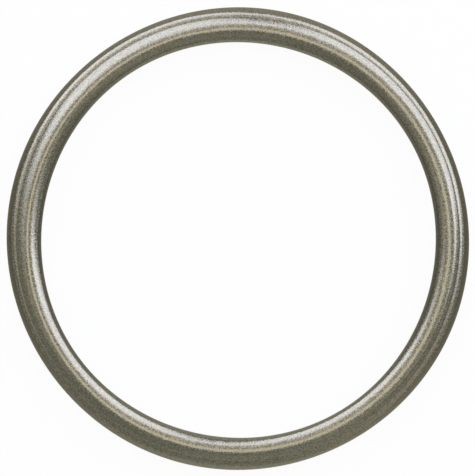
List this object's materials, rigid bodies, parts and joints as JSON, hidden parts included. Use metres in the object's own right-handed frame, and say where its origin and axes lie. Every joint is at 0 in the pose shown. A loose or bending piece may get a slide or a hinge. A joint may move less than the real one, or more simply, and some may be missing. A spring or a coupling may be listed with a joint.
{
  "type": "exhaust gasket",
  "caption": "Round crush-ring gasket folded from thin sheet steel, with a flat seat, a domed crown and a lapped outer lip, that seals the joint between two exhaust pipe flanges.",
  "frame": {"origin": "centre of the bore, in the plane of the flat seat", "axes": "+Z along the pipe's axis, from the flat seat up to the crown; the ring is the same all round, so X and Y are any two directions at right angles"},
  "size_m": [0.0898, 0.0898, 0.005],
  "materials": {
    "sheet_steel": "satin, finely grained, slightly olive bare sheet steel"
  },
  "bodies": {
    "root": {"gasket_ring": "sheet_steel"}
  },
  "joints": []
}
